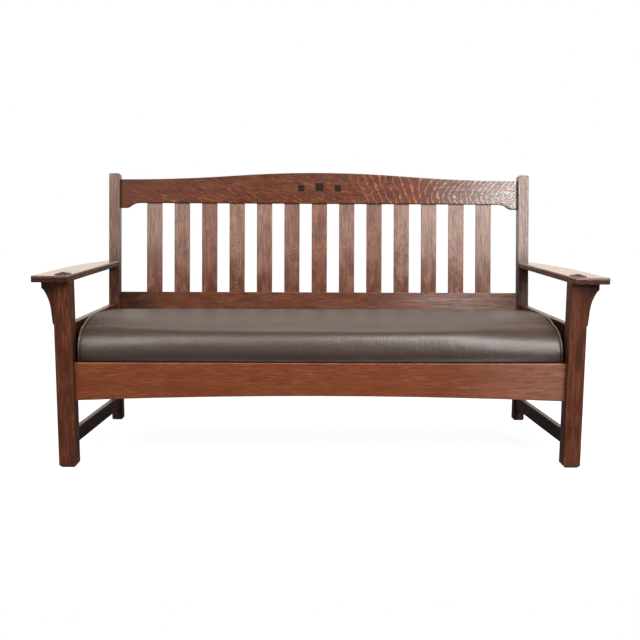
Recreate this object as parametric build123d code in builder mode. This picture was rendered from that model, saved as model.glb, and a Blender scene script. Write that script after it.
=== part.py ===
"""Oak settle with a slatted back, flat arms and a drop-in leather seat.

Millimetres, +Z up, X along the width, the front at -Y. The origin is on the floor
under the middle of the overall box.
"""

import os
from math import cos, radians, sin

from build123d import *

os.makedirs("parts", exist_ok=True)

# Overall frame
arm_span = 1830
arm_side_overhang = 59
side_taper = 34
post_spacing = 632
front_post_size = 56
back_post_size = 41
back_post_length = 508
rake = radians(7.72)

# Edges
post_arris = 2.5
foot_chamfer = 7
post_top_chamfer = 4
board_arris = 1.5
slat_arris = 1

# Seat rails
rail_underside = 220
front_rail_height = 125
front_rail_thickness = 25
front_rail_setback = 22
front_rail_arch = 16
side_rail_height = 247
side_rail_thickness = 24
back_rail_thickness = 20
back_rail_setback = 18

# Side stretchers
stretcher_underside = 50
stretcher_height = 50
stretcher_thickness = 19
stretcher_front_inset = 5
stretcher_back_inset = 17

# Back
crest_underside = 396
crest_end_height = 91
crest_rise = 29
crest_inflexion_share = 0.42
ear_drop = 20
ear_flat = 21
ear_run = 54
ear_inflexion_share = 0.28
lower_rail_top = 46
lower_rail_height = 76
slat_count = 13
slat_width = 60
slat_thickness = 10
slat_end_gap = 103
slat_tenon_length = 12
small_inlay = 25
large_inlay = 33
inlay_spacing = 72
inlay_thickness = 3
inlay_sill = 46

# Arms and corbels
arm_thickness = 21
arm_height = 632
arm_overhang = 30
arm_inner_setback = 1
arm_back_overlap = 12
arm_straight_length = 270
arm_straight_taper = 11
arm_curve_sag = 13
arm_corner_radius = 6
arm_top_round = 4
arm_under_arris = 1.5
through_tenon_stand = 2
through_tenon_peak = 6
corbel_reach = 40
corbel_height = 145
corbel_thickness = 22
corbel_nose = 22
corbel_step = 7
corbel_cove_end = 92
corbel_neck = 12
corbel_toe = 8
corbel_housing = 5

# Joints in the wood
tenon_thickness = 10
front_rail_tenon_thickness = 12
side_tenon_length = 30
back_tenon_length = 25
arm_tenon_length = 18
tenon_shoulder = 15
small_shoulder = 6
mortise_wall = 5
mortise_end_gap = 1

# Drop-in seat
cleat_height = 25
cleat_width = 22
side_cleat_width = 45
cleat_end_gap = 40
seat_frame_height = 45
seat_frame_width = 30
seat_frame_gap = 2
seat_side_gap = 8
seat_back_gap = 3
brace_count = 3
brace_height = 25
brace_housing = 8
cover_thickness = 1
cover_gap = 2
seat_clearance = 0.3
cushion_front_gap = 2
cushion_face = 24
cushion_roll = 46
cushion_front_top = 106
cushion_crown = 122
cushion_back_top = 101
cushion_back_round = 14
cushion_end_drop = 2
cushion_end_power = 4
cushion_side_pull = 6
cushion_sections = 9

# Derived places
rake_sin, rake_cos = sin(rake), cos(rake)
knee_height = rail_underside + side_rail_height
seat_rail_top = rail_underside + front_rail_height
arm_underside = arm_height - arm_thickness
overall_depth = (arm_overhang + post_spacing + back_post_length * rake_sin
                 + back_post_size * rake_cos**2 - post_top_chamfer * rake_sin)
post_front_y = arm_overhang - overall_depth / 2
post_rear_y = post_front_y + front_post_size
back_y = post_front_y + post_spacing
front_outer_x = arm_span / 2 - arm_side_overhang
front_inner_x = front_outer_x - front_post_size
front_post_x = front_outer_x - front_post_size / 2
front_post_y = post_front_y + front_post_size / 2
back_outer_x = front_outer_x - side_taper
back_inner_x = back_outer_x - back_post_size
back_post_x = back_outer_x - back_post_size / 2
through_tenon_size = front_post_size - 2 * small_shoulder
front_tenon_length = (front_post_size - tenon_thickness) / 2 - mortise_wall - mortise_end_gap
side_back_tenon_length = (back_rail_setback + (back_rail_thickness - tenon_thickness) / 2
                          - mortise_wall + mortise_end_gap)

sides = ((-1, "left"), (1, "right"))


def raked(setback=0):
    """Plane of the leaning back, a setback behind the back posts' front faces.

    Its X is the settle's X, its Y runs up the slope from the knee and its normal
    points forward.
    """
    return Plane(
        origin=(0, back_y + setback * rake_cos, knee_height - setback * rake_sin),
        x_dir=(1, 0, 0),
        z_dir=(0, -rake_cos, rake_sin),
    )


def level(height):
    """Horizontal plane at a height."""
    return Plane.XY.offset(height)


def upright(y):
    """Plane across the settle at a depth, with X to the right and Y up."""
    return Plane(origin=(0, y, 0), x_dir=(1, 0, 0), z_dir=(0, -1, 0))


def profile_plane(x):
    """Plane square to the width at x, with its X along +Y and its Y up."""
    return Plane(origin=(x, 0, 0), x_dir=(0, 1, 0), z_dir=(1, 0, 0))


def finish(part, label):
    """Label a piece and write its STEP file."""
    part.part.label = label
    export_step(part.part, f"parts/{label}.step")


def rising_edges(part):
    """Edges that climb steeply, which are the long corners of a post."""
    return part.edges().filter_by(lambda edge: abs(edge.tangent_at(0.5).Z) > 2 * sin(rake))


# Places on the side rails and stretchers, which run a little inwards to the back
side_front_x = front_post_x
side_back_x = back_post_x
stretcher_front_x = front_outer_x - stretcher_front_inset - stretcher_thickness / 2
stretcher_back_x = back_outer_x - stretcher_back_inset - stretcher_thickness / 2
front_rail_y = post_front_y + front_rail_setback
front_rail_back_y = front_rail_y + front_rail_thickness
front_tenon_y = front_rail_y + front_rail_thickness / 2
back_rail_y = back_y + back_rail_setback
back_tenon_y = back_rail_y + back_rail_thickness / 2
front_rail_mid = rail_underside + front_rail_height / 2
front_tenon_height = front_rail_height - 2 * tenon_shoulder
side_tenon_mid = rail_underside + (side_rail_height - tenon_shoulder) / 2
side_tenon_height = side_rail_height - 3 * tenon_shoulder
stretcher_mid = stretcher_underside + stretcher_height / 2
stretcher_tenon_height = stretcher_height - 2 * small_shoulder
crest_top = crest_underside + crest_end_height
crest_tenon_height = crest_end_height - tenon_shoulder
crest_tenon_mid = crest_underside + crest_end_height / 2
lower_rail_mid = lower_rail_top - lower_rail_height / 2
lower_tenon_height = lower_rail_height - 2 * tenon_shoulder
board_tenon_setback = back_rail_setback + (back_rail_thickness - tenon_thickness) / 2
slat_setback = back_rail_setback + (back_rail_thickness - slat_thickness) / 2
arm_mid = arm_underside + arm_thickness / 2
arm_tenon_thickness = arm_thickness - 2 * mortise_wall
arm_tenon_width = back_post_size - 2 * small_shoulder
slat_pitch = (2 * (back_inner_x - slat_end_gap) - slat_width) / (slat_count - 1)
slat_xs = [(i - (slat_count - 1) / 2) * slat_pitch for i in range(slat_count)]

# Front posts, with the through tenon for the arm
for side, name in sides:
    with BuildPart() as front_post:
        with BuildSketch(level(0)):
            with Locations((side * front_post_x, front_post_y)):
                Rectangle(front_post_size, front_post_size)
        extrude(amount=arm_underside)
        chamfer(front_post.faces().sort_by(Axis.Z)[0].edges(), length=foot_chamfer)
        chamfer(rising_edges(front_post), length=post_arris)
        with BuildSketch(level(arm_underside)):
            with Locations((side * front_post_x, front_post_y)):
                Rectangle(through_tenon_size, through_tenon_size)
        extrude(amount=arm_thickness + through_tenon_stand)
        with BuildSketch(level(arm_height + through_tenon_stand)):
            with Locations((side * front_post_x, front_post_y)):
                Rectangle(through_tenon_size, through_tenon_size)
        with BuildSketch(level(arm_height + through_tenon_stand + through_tenon_peak)):
            with Locations((side * front_post_x, front_post_y)):
                Rectangle(post_arris, post_arris)
        loft(ruled=True)
        # Mortise for the front seat rail
        with BuildSketch(upright(front_tenon_y - front_rail_tenon_thickness / 2)):
            with Locations((side * (front_inner_x + (front_tenon_length + mortise_end_gap) / 2),
                            front_rail_mid)):
                Rectangle(front_tenon_length + mortise_end_gap, front_tenon_height)
        extrude(amount=-front_rail_tenon_thickness, mode=Mode.SUBTRACT)
        # Mortises for the side rail and the stretcher
        with BuildSketch(upright(post_rear_y)):
            with Locations((side * side_front_x, side_tenon_mid)):
                Rectangle(tenon_thickness, side_tenon_height)
            with Locations((side * stretcher_front_x, stretcher_mid)):
                Rectangle(tenon_thickness, stretcher_tenon_height)
        extrude(amount=side_tenon_length + mortise_end_gap, mode=Mode.SUBTRACT)
        # Housing for the corbel
        with BuildSketch(upright(front_post_y - corbel_thickness / 2)):
            with Locations((side * (front_outer_x - corbel_housing / 2),
                            arm_underside - corbel_height / 2)):
                Rectangle(corbel_housing, corbel_height)
        extrude(amount=-corbel_thickness, mode=Mode.SUBTRACT)
    finish(front_post, f"{name}_front_post")

# Back posts, sawn with a knee at the top of the side rails
for side, name in sides:
    with BuildPart() as back_post:
        with BuildSketch(profile_plane(side * back_post_x)):
            with BuildLine():
                Polyline(
                    (back_y, 0),
                    (back_y, knee_height),
                    (back_y + back_post_length * rake_sin,
                     knee_height + back_post_length * rake_cos),
                    (back_y + back_post_length * rake_sin + back_post_size * rake_cos**2,
                     knee_height + back_post_length * rake_cos
                     - back_post_size * rake_cos * rake_sin),
                    (back_y + back_post_size, knee_height),
                    (back_y + back_post_size, 0),
                    close=True,
                )
            make_face()
        extrude(amount=back_post_size / 2, both=True)
        chamfer(back_post.faces().sort_by(Axis.Z)[-1].edges(), length=post_top_chamfer)
        chamfer(back_post.faces().sort_by(Axis.Z)[0].edges(), length=post_top_chamfer)
        chamfer(rising_edges(back_post), length=board_arris)
        # Mortises for the side rail and the stretcher
        with BuildSketch(upright(back_y)):
            with Locations((side * side_back_x, side_tenon_mid)):
                Rectangle(tenon_thickness, side_tenon_height)
            with Locations((side * stretcher_back_x, stretcher_mid)):
                Rectangle(tenon_thickness, stretcher_tenon_height)
        extrude(amount=-(side_back_tenon_length + mortise_end_gap), mode=Mode.SUBTRACT)
        # Mortise for the back seat rail
        with BuildSketch(upright(back_tenon_y - tenon_thickness / 2)):
            with Locations((side * (back_inner_x + (back_tenon_length + mortise_end_gap) / 2),
                            front_rail_mid)):
                Rectangle(back_tenon_length + mortise_end_gap, front_tenon_height)
        extrude(amount=-tenon_thickness, mode=Mode.SUBTRACT)
        # Mortises for the crest rail and the lower back rail
        with BuildSketch(raked(board_tenon_setback)):
            with Locations((side * (back_inner_x + (back_tenon_length + mortise_end_gap) / 2),
                            crest_tenon_mid)):
                Rectangle(back_tenon_length + mortise_end_gap, crest_tenon_height)
            with Locations((side * (back_inner_x + (back_tenon_length + mortise_end_gap) / 2),
                            lower_rail_mid)):
                Rectangle(back_tenon_length + mortise_end_gap, lower_tenon_height)
        extrude(amount=-tenon_thickness, mode=Mode.SUBTRACT)
        # Mortise for the arm
        with BuildSketch(level(arm_mid - arm_tenon_thickness / 2)):
            with Locations((side * back_post_x,
                            back_y + (arm_mid - knee_height) * rake_sin / rake_cos)):
                Rectangle(arm_tenon_width, 2 * (arm_tenon_length + mortise_end_gap))
        extrude(amount=arm_tenon_thickness, mode=Mode.SUBTRACT)
    finish(back_post, f"{name}_back_post")

# Front seat rail, with a low arch along its lower edge
with BuildPart() as front_seat_rail:
    with BuildSketch(upright(front_rail_y)):
        with BuildLine():
            Line((-front_inner_x, seat_rail_top), (front_inner_x, seat_rail_top))
            Line((front_inner_x, seat_rail_top), (front_inner_x, rail_underside))
            ThreePointArc((front_inner_x, rail_underside), (0, rail_underside + front_rail_arch),
                          (-front_inner_x, rail_underside))
            Line((-front_inner_x, rail_underside), (-front_inner_x, seat_rail_top))
        make_face()
    extrude(amount=-front_rail_thickness)
    arris = front_seat_rail.faces().filter_by(Axis.Y).edges() - front_seat_rail.edges().filter_by(Axis.Z)
    chamfer(arris, length=board_arris)
    with BuildSketch(upright(front_tenon_y - front_rail_tenon_thickness / 2)):
        with Locations((front_inner_x + front_tenon_length / 2, front_rail_mid),
                       (-front_inner_x - front_tenon_length / 2, front_rail_mid)):
            Rectangle(front_tenon_length, front_tenon_height)
    extrude(amount=-front_rail_tenon_thickness)
finish(front_seat_rail, "front_seat_rail")

# Back seat rail
with BuildPart() as back_seat_rail:
    with BuildSketch(upright(back_rail_y)):
        with Locations((0, front_rail_mid)):
            Rectangle(2 * back_inner_x, front_rail_height)
    extrude(amount=-back_rail_thickness)
    chamfer(back_seat_rail.edges().filter_by(Axis.X), length=board_arris)
    with BuildSketch(upright(back_tenon_y - tenon_thickness / 2)):
        with Locations((0, front_rail_mid)):
            Rectangle(2 * (back_inner_x + back_tenon_length), front_tenon_height)
    extrude(amount=-tenon_thickness)
finish(back_seat_rail, "back_seat_rail")


def side_board(side, front_x, back_x, thickness, underside, height):
    """Board from a front post's rear face to a back post's front face, with its arrises."""
    half = thickness / 2
    with BuildPart() as board:
        with BuildSketch(level(underside)):
            with BuildLine():
                Polyline(
                    (side * (front_x - half), post_rear_y),
                    (side * (front_x + half), post_rear_y),
                    (side * (back_x + half), back_y),
                    (side * (back_x - half), back_y),
                    close=True,
                )
            make_face()
        extrude(amount=height)
        ends = board.faces().filter_by(Axis.Y).edges() + board.edges().filter_by(Axis.Z)
        chamfer(board.edges() - ends, length=board_arris)
    return board.part


# Side rails and side stretchers
for side, name in sides:
    with BuildPart() as side_rail:
        add(side_board(side, side_front_x, side_back_x, side_rail_thickness,
                       rail_underside, side_rail_height))
        with BuildSketch(upright(post_rear_y - side_tenon_length)):
            with Locations((side * side_front_x, side_tenon_mid)):
                Rectangle(tenon_thickness, side_tenon_height)
        extrude(amount=-side_tenon_length)
        with BuildSketch(upright(back_y)):
            with Locations((side * side_back_x, side_tenon_mid)):
                Rectangle(tenon_thickness, side_tenon_height)
        extrude(amount=-side_back_tenon_length)
    finish(side_rail, f"{name}_side_rail")

    with BuildPart() as side_stretcher:
        add(side_board(side, stretcher_front_x, stretcher_back_x, stretcher_thickness,
                       stretcher_underside, stretcher_height))
        with BuildSketch(upright(post_rear_y - side_tenon_length)):
            with Locations((side * stretcher_front_x, stretcher_mid)):
                Rectangle(tenon_thickness, stretcher_tenon_height)
        extrude(amount=-side_tenon_length)
        with BuildSketch(upright(back_y)):
            with Locations((side * stretcher_back_x, stretcher_mid)):
                Rectangle(tenon_thickness, stretcher_tenon_height)
        extrude(amount=-side_back_tenon_length)
    finish(side_stretcher, f"{name}_side_stretcher")

# Crest rail: a low ogee rise along the top, an ear at each end below
crest_mid_x = back_inner_x * crest_inflexion_share
crest_mid_v = crest_top + crest_rise * (1 - crest_inflexion_share)
ear_in_x = back_inner_x - ear_flat
ear_out_x = ear_in_x - ear_run
ear_mid_x = ear_in_x - ear_run * ear_inflexion_share
ear_v = crest_underside - ear_drop
ear_mid_v = ear_v + ear_drop * ear_inflexion_share
with BuildPart() as crest_rail:
    with BuildSketch(raked(back_rail_setback)):
        with BuildLine():
            Line((back_inner_x, ear_v), (back_inner_x, crest_top))
            TangentArc((back_inner_x, crest_top), (crest_mid_x, crest_mid_v), tangent=(-1, 0))
            TangentArc((0, crest_top + crest_rise), (crest_mid_x, crest_mid_v), tangent=(1, 0))
            Line((back_inner_x, ear_v), (ear_in_x, ear_v))
            TangentArc((ear_in_x, ear_v), (ear_mid_x, ear_mid_v), tangent=(-1, 0))
            TangentArc((ear_out_x, crest_underside), (ear_mid_x, ear_mid_v), tangent=(1, 0))
            Line((ear_out_x, crest_underside), (0, crest_underside))
            mirror(about=Plane.YZ)
        make_face()
    extrude(amount=-back_rail_thickness)
    crest_ends = crest_rail.faces().filter_by(Axis.X).edges()
    crest_faces = crest_rail.faces().sort_by(SortBy.AREA)[-2:].edges()
    chamfer(crest_faces - crest_ends, length=board_arris)
    with BuildSketch(raked(board_tenon_setback)):
        with Locations((0, crest_tenon_mid)):
            Rectangle(2 * (back_inner_x + back_tenon_length), crest_tenon_height)
    extrude(amount=-tenon_thickness)
    with BuildSketch(raked(slat_setback)):
        for x in slat_xs:
            with Locations((x, crest_underside + (slat_tenon_length + mortise_end_gap) / 2)):
                Rectangle(slat_width, slat_tenon_length + mortise_end_gap)
    extrude(amount=-slat_thickness, mode=Mode.SUBTRACT)
    with BuildSketch(raked(back_rail_setback)):
        for x, size in ((-inlay_spacing, small_inlay), (0, large_inlay), (inlay_spacing, small_inlay)):
            with Locations((x, crest_underside + inlay_sill + size / 2)):
                Rectangle(size, size)
    extrude(amount=-inlay_thickness, mode=Mode.SUBTRACT)
finish(crest_rail, "crest_rail")

# Square inlays, flush with the face of the crest rail
for x, size, name in ((-inlay_spacing, small_inlay, "left"), (0, large_inlay, "centre"),
                      (inlay_spacing, small_inlay, "right")):
    with BuildPart() as inlay:
        with BuildSketch(raked(back_rail_setback)):
            with Locations((x, crest_underside + inlay_sill + size / 2)):
                Rectangle(size, size)
        extrude(amount=-inlay_thickness)
    finish(inlay, f"{name}_crest_inlay")

# Lower back rail
with BuildPart() as lower_back_rail:
    with BuildSketch(raked(back_rail_setback)):
        with Locations((0, lower_rail_mid)):
            Rectangle(2 * back_inner_x, lower_rail_height)
    extrude(amount=-back_rail_thickness)
    chamfer(lower_back_rail.edges().filter_by(Axis.X), length=board_arris)
    with BuildSketch(raked(board_tenon_setback)):
        with Locations((0, lower_rail_mid)):
            Rectangle(2 * (back_inner_x + back_tenon_length), lower_tenon_height)
    extrude(amount=-tenon_thickness)
    with BuildSketch(raked(slat_setback)):
        for x in slat_xs:
            with Locations((x, lower_rail_top - (slat_tenon_length + mortise_end_gap) / 2)):
                Rectangle(slat_width, slat_tenon_length + mortise_end_gap)
    extrude(amount=-slat_thickness, mode=Mode.SUBTRACT)
finish(lower_back_rail, "lower_back_rail")

# Back slats, let into both rails
slat_length = crest_underside - lower_rail_top + 2 * slat_tenon_length
for number, x in enumerate(slat_xs, start=1):
    with BuildPart() as back_slat:
        with BuildSketch(raked(slat_setback)):
            with Locations((x, (crest_underside + lower_rail_top) / 2)):
                Rectangle(slat_width, slat_length)
        extrude(amount=-slat_thickness)
        slat_top, slat_foot = back_slat.faces().sort_by(Axis.Z)[-1], back_slat.faces().sort_by(Axis.Z)[0]
        chamfer(back_slat.edges() - slat_top.edges() - slat_foot.edges()
                - back_slat.edges().filter_by(Axis.X), length=slat_arris)
    finish(back_slat, f"back_slat_{number:02d}")

# Arms, with a long curve along the outer edge
arm_inner_front_x = front_inner_x + arm_inner_setback
arm_inner_back_x = back_inner_x + arm_inner_setback
arm_outer_back_x = back_outer_x + arm_back_overlap
arm_front = post_front_y - arm_overhang
arm_back_y = back_y + (arm_height - knee_height) * rake_sin / rake_cos
curve_start = (arm_span / 2 - arm_straight_taper, arm_front + arm_straight_length)
for side, name in sides:
    with BuildPart() as arm:
        with BuildSketch(level(arm_underside)):
            with BuildLine():
                Polyline(
                    (side * curve_start[0], curve_start[1]),
                    (side * arm_span / 2, arm_front),
                    (side * arm_inner_front_x, arm_front),
                    (side * arm_inner_back_x, arm_back_y),
                    (side * arm_outer_back_x, arm_back_y),
                )
                ThreePointArc(
                    (side * curve_start[0], curve_start[1]),
                    (side * ((curve_start[0] + arm_outer_back_x) / 2 + arm_curve_sag),
                     (curve_start[1] + arm_back_y) / 2),
                    (side * arm_outer_back_x, arm_back_y),
                )
            make_face()
        extrude(amount=arm_thickness)
        front_corners = arm.edges().filter_by(Axis.Z).group_by(Axis.Y)[0]
        fillet(front_corners, radius=arm_corner_radius)
        back_face = arm.faces().sort_by(Axis.Y)[-1]
        fillet(arm.faces().sort_by(Axis.Z)[-1].edges() - back_face.edges(), radius=arm_top_round)
        back_face = arm.faces().sort_by(Axis.Y)[-1]
        chamfer(arm.faces().sort_by(Axis.Z)[0].edges() - back_face.edges(), length=arm_under_arris)
        # The back end is cut to the slope of the back post
        with BuildSketch(profile_plane(0)):
            with BuildLine():
                Polyline(
                    (back_y + (arm_underside - knee_height) * rake_sin / rake_cos, arm_underside),
                    (arm_back_y, arm_height),
                    (arm_back_y, arm_underside),
                    close=True,
                )
            make_face()
        extrude(amount=arm_span, both=True, mode=Mode.SUBTRACT)
        with BuildSketch(level(arm_underside)):
            with Locations((side * front_post_x, front_post_y)):
                Rectangle(through_tenon_size, through_tenon_size)
        extrude(amount=arm_thickness, mode=Mode.SUBTRACT)
        # Tenon into the back post
        with BuildSketch(profile_plane(side * back_post_x)):
            with BuildLine():
                low = arm_mid - arm_tenon_thickness / 2
                high = arm_mid + arm_tenon_thickness / 2
                tip = back_y + (arm_mid - knee_height) * rake_sin / rake_cos + arm_tenon_length
                Polyline(
                    (back_y + (low - knee_height) * rake_sin / rake_cos, low),
                    (back_y + (high - knee_height) * rake_sin / rake_cos, high),
                    (tip, high),
                    (tip, low),
                    close=True,
                )
            make_face()
        extrude(amount=arm_tenon_width / 2, both=True)
    finish(arm, f"{name}_arm")

# Corbels, housed in the outer faces of the front posts
for side, name in sides:
    with BuildPart() as corbel:
        with BuildSketch(upright(front_post_y - corbel_thickness / 2)):
            with BuildLine():
                top = arm_underside
                step_x = front_outer_x + corbel_reach - corbel_step
                neck = (side * (front_outer_x + corbel_neck), top - corbel_cove_end)
                Polyline(
                    (side * step_x, top - corbel_nose - corbel_step),
                    (side * (step_x + corbel_step), top - corbel_nose),
                    (side * (step_x + corbel_step), top),
                    (side * (front_outer_x - corbel_housing), top),
                    (side * (front_outer_x - corbel_housing), top - corbel_height),
                    (side * front_outer_x, top - corbel_height),
                    (side * (front_outer_x + corbel_toe), top - corbel_height + corbel_step),
                    neck,
                )
                TangentArc(
                    neck,
                    (side * step_x, top - corbel_nose - corbel_step),
                    tangent=(side * (corbel_neck - corbel_toe),
                             corbel_height - corbel_step - corbel_cove_end),
                )
            make_face()
        extrude(amount=-corbel_thickness)
    finish(corbel, f"{name}_corbel")

# Cleats inside the seat rails
cleat_top = seat_rail_top - seat_frame_height
cleat_mid = cleat_top - cleat_height / 2
with BuildPart() as front_seat_cleat:
    with BuildSketch(upright(front_rail_back_y)):
        with Locations((0, cleat_mid)):
            Rectangle(2 * (front_inner_x - cleat_end_gap), cleat_height)
    extrude(amount=-cleat_width)
finish(front_seat_cleat, "front_seat_cleat")

with BuildPart() as back_seat_cleat:
    with BuildSketch(upright(back_rail_y - cleat_width)):
        with Locations((0, cleat_mid)):
            Rectangle(2 * (back_inner_x - cleat_end_gap), cleat_height)
    extrude(amount=-cleat_width)
finish(back_seat_cleat, "back_seat_cleat")

side_lean = (side_front_x - side_back_x) / (back_y - post_rear_y)
side_cleat_front_y = post_rear_y + cleat_width
side_cleat_back_y = back_y - cleat_width


def side_rail_face_x(y):
    """Distance of a side rail's inner face from the middle, at a depth."""
    return side_front_x - side_lean * (y - post_rear_y) - side_rail_thickness / 2


for side, name in sides:
    with BuildPart() as side_seat_cleat:
        with BuildSketch(level(cleat_top - cleat_height)):
            with BuildLine():
                face_front = side_rail_face_x(side_cleat_front_y)
                face_back = side_rail_face_x(side_cleat_back_y)
                Polyline(
                    (side * face_front, side_cleat_front_y),
                    (side * face_back, side_cleat_back_y),
                    (side * (face_back - side_cleat_width), side_cleat_back_y),
                    (side * (face_front - side_cleat_width), side_cleat_front_y),
                    close=True,
                )
            make_face()
        extrude(amount=cleat_height)
    finish(side_seat_cleat, f"{name}_seat_cleat")

# Seat frame: half-lapped rails with cross braces, clear of the lower back rail as it lifts
frame_front_y = front_rail_back_y + seat_frame_gap
frame_back_y = (back_y + back_rail_setback * rake_cos
                + (lower_rail_top - lower_rail_height) * rake_sin - seat_back_gap)
frame_front_x = front_inner_x - seat_side_gap
frame_back_x = back_inner_x - seat_back_gap
frame_lean = (frame_front_x - frame_back_x) / (frame_back_y - frame_front_y)
frame_bottom = cleat_top + seat_clearance
frame_top = seat_rail_top
frame_lap = (frame_top - frame_bottom) / 2


def frame_side_x(y):
    """Half-width of the seat frame at a depth."""
    return frame_front_x - frame_lean * (y - frame_front_y)


def frame_corner(side, y0, y1):
    """Plan of a seat frame side rail between two depths."""
    with BuildLine() as outline:
        Polyline(
            (side * frame_side_x(y0), y0),
            (side * frame_side_x(y1), y1),
            (side * (frame_side_x(y1) - seat_frame_width), y1),
            (side * (frame_side_x(y0) - seat_frame_width), y0),
            close=True,
        )
    return outline.line


for y0, y1, name in ((frame_front_y, frame_front_y + seat_frame_width, "front"),
                     (frame_back_y - seat_frame_width, frame_back_y, "back")):
    with BuildPart() as frame_rail:
        with BuildSketch(level(frame_bottom)):
            with BuildLine():
                Polyline(
                    (-frame_side_x(y0), y0), (frame_side_x(y0), y0),
                    (frame_side_x(y1), y1), (-frame_side_x(y1), y1),
                    close=True,
                )
            make_face()
        extrude(amount=frame_top - frame_bottom)
        with BuildSketch(level(frame_bottom + frame_lap)):
            for side, other in sides:
                with BuildLine():
                    add(frame_corner(side, y0, y1))
                make_face()
        extrude(amount=frame_lap, mode=Mode.SUBTRACT)
        # Housings for the cross braces
        inner = y1 if name == "front" else y0
        with BuildSketch(level(frame_top - brace_height)):
            for i in range(brace_count):
                x = (i + 1 - (brace_count + 1) / 2) * 2 * frame_back_x / (brace_count + 1)
                with Locations((x, inner)):
                    Rectangle(seat_frame_width, 2 * brace_housing)
        extrude(amount=brace_height, mode=Mode.SUBTRACT)
    finish(frame_rail, f"{name}_seat_frame_rail")

for side, name in sides:
    with BuildPart() as frame_rail:
        with BuildSketch(level(frame_bottom)):
            with BuildLine():
                add(frame_corner(side, frame_front_y, frame_back_y))
            make_face()
        extrude(amount=frame_top - frame_bottom)
        with BuildSketch(level(frame_bottom)):
            for y in (frame_front_y + seat_frame_width / 2, frame_back_y - seat_frame_width / 2):
                with Locations((side * (frame_front_x - seat_frame_width / 2), y)):
                    Rectangle(4 * seat_frame_width, seat_frame_width)
        extrude(amount=frame_lap, mode=Mode.SUBTRACT)
    finish(frame_rail, f"{name}_seat_frame_rail")

brace_front_y = frame_front_y + seat_frame_width - brace_housing
brace_back_y = frame_back_y - seat_frame_width + brace_housing
for i in range(brace_count):
    x = (i + 1 - (brace_count + 1) / 2) * 2 * frame_back_x / (brace_count + 1)
    with BuildPart() as brace:
        with BuildSketch(level(frame_top - brace_height)):
            with Locations((x, (brace_front_y + brace_back_y) / 2)):
                Rectangle(seat_frame_width, brace_back_y - brace_front_y)
        extrude(amount=brace_height)
    finish(brace, f"seat_brace_{i + 1}")

# Dust cover, tacked under the seat frame between the cleats
cover_front_y = front_rail_back_y + cleat_width + cover_gap
cover_back_y = back_rail_y - cleat_width - cover_gap
cover_half_x = side_rail_face_x(side_cleat_back_y) - side_cleat_width - cover_gap
with BuildPart() as dust_cover:
    with BuildSketch(level(frame_bottom)):
        with Locations((0, (cover_front_y + cover_back_y) / 2)):
            Rectangle(2 * cover_half_x, cover_back_y - cover_front_y)
    extrude(amount=-cover_thickness)
finish(dust_cover, "seat_dust_cover")

# Cushion: a rolled front edge, a crowned top and ends that draw in
cushion_bottom = seat_rail_top + seat_clearance
cushion_front_y = front_rail_y + cushion_front_gap
cushion_back_y = frame_back_y
cushion_front_x = frame_front_x
cushion_back_x = frame_back_x


def cushion_section(x):
    """Closed outline of the cushion at x, which falls and draws in towards the ends."""
    share = (abs(x) / cushion_front_x) ** cushion_end_power
    drop = cushion_end_drop * share
    front = cushion_front_y + cushion_side_pull * share
    back = cushion_back_y
    face_top = cushion_bottom + cushion_face
    front_top = cushion_bottom + cushion_front_top - drop
    crown = cushion_bottom + cushion_crown - 2 * drop
    back_top = cushion_bottom + cushion_back_top - drop
    roll_mid = 1 - cos(radians(45))
    with BuildSketch(profile_plane(x)) as section:
        with BuildLine():
            Line((back, cushion_bottom), (front, cushion_bottom))
            Line((front, cushion_bottom), (front, face_top))
            EllipticalCenterArc((front + cushion_roll, face_top), cushion_roll,
                                front_top - face_top, start_angle=90)
            ThreePointArc(
                (front + cushion_roll, front_top),
                ((front + back) / 2, crown),
                (back - cushion_back_round, back_top),
            )
            ThreePointArc(
                (back - cushion_back_round, back_top),
                (back - cushion_back_round * roll_mid, back_top - cushion_back_round * roll_mid),
                (back, back_top - cushion_back_round),
            )
            Line((back, back_top - cushion_back_round), (back, cushion_bottom))
        make_face()
    return section.sketch


with BuildPart() as seat_cushion:
    for i in range(cushion_sections):
        add(cushion_section((2 * i / (cushion_sections - 1) - 1) * cushion_front_x))
    loft()
    # The ends follow the sides of the seat
    with BuildSketch(level(cushion_bottom)):
        with BuildLine():
            Polyline(
                (-cushion_front_x, cushion_front_y), (cushion_front_x, cushion_front_y),
                (cushion_back_x, cushion_back_y), (-cushion_back_x, cushion_back_y),
                close=True,
            )
        make_face()
    extrude(amount=2 * cushion_crown, mode=Mode.INTERSECT)
finish(seat_cushion, "seat_cushion")
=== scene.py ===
"""Dresses the oak settle: quarter-sawn oak, ebonised inlays and a leather seat on a pale sweep."""

from functools import partial
from math import cos, pi, radians, sin, tanh

import bpy
from mathutils import Matrix, Vector


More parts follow.
